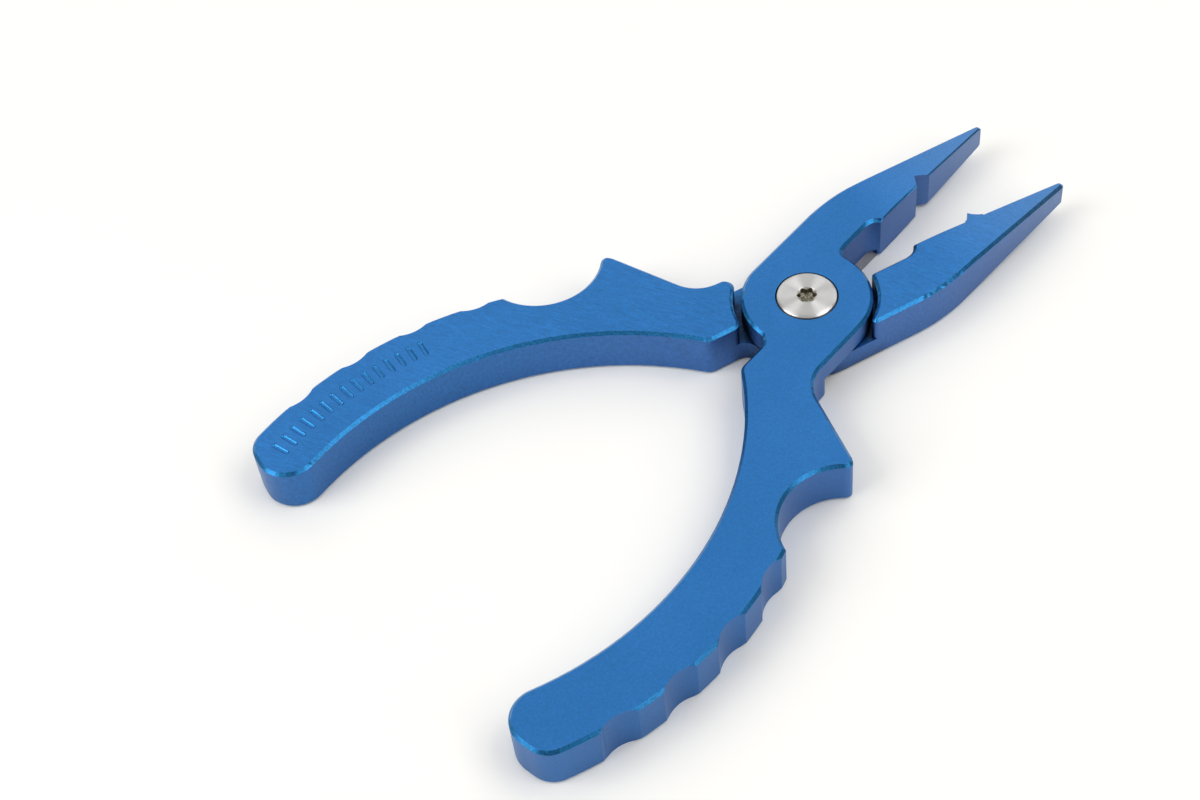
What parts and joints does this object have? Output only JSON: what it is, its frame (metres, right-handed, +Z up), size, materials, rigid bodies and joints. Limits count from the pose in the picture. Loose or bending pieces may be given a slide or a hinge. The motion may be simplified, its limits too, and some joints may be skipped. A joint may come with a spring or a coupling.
{
  "type": "fishing pliers",
  "caption": "Flat anodised aluminium fishing pliers with long tapered jaws, finger guards, a low round pivot bolt and line cutter plates beside the pivot.",
  "frame": {"origin": "on the pivot axis, at the flat underside the pliers lie on", "axes": "+X along the pliers' centre line towards the jaw tips, +Z up along the pivot axis to the bolt head"},
  "size_m": [0.162, 0.0972, 0.0106],
  "materials": {
    "anodised_top": "blue anodised, fine satin",
    "anodised_bottom": "blue anodised, brushed",
    "bolt_steel": "turned stainless steel",
    "nut_steel": "turned stainless steel",
    "washer_bronze": "plain bronze",
    "cutter_steel": "ground tool steel",
    "screw_steel": "plain stainless steel"
  },
  "bodies": {
    "bottom_arm": {"arm_bottom": "anodised_bottom", "pivot_bolt": "bolt_steel", "pivot_nut": "nut_steel", "head_washer": "washer_bronze", "lap_washer": "washer_bronze", "cutter_plate_bottom": "cutter_steel", "cutter_screw_bottom_rear": "screw_steel", "cutter_screw_bottom_front": "screw_steel"},
    "top_arm": {"arm_top": "anodised_top", "cutter_plate_top": "cutter_steel", "cutter_screw_top_rear": "screw_steel", "cutter_screw_top_front": "screw_steel"}
  },
  "joints": [
    {"name": "pivot", "type": "hinge", "parent": "bottom_arm", "child": "top_arm", "pos_m": [0, 0, 0.0051], "axis": [0, 0, 1], "range_deg": [-20.6, 32]}
  ]
}
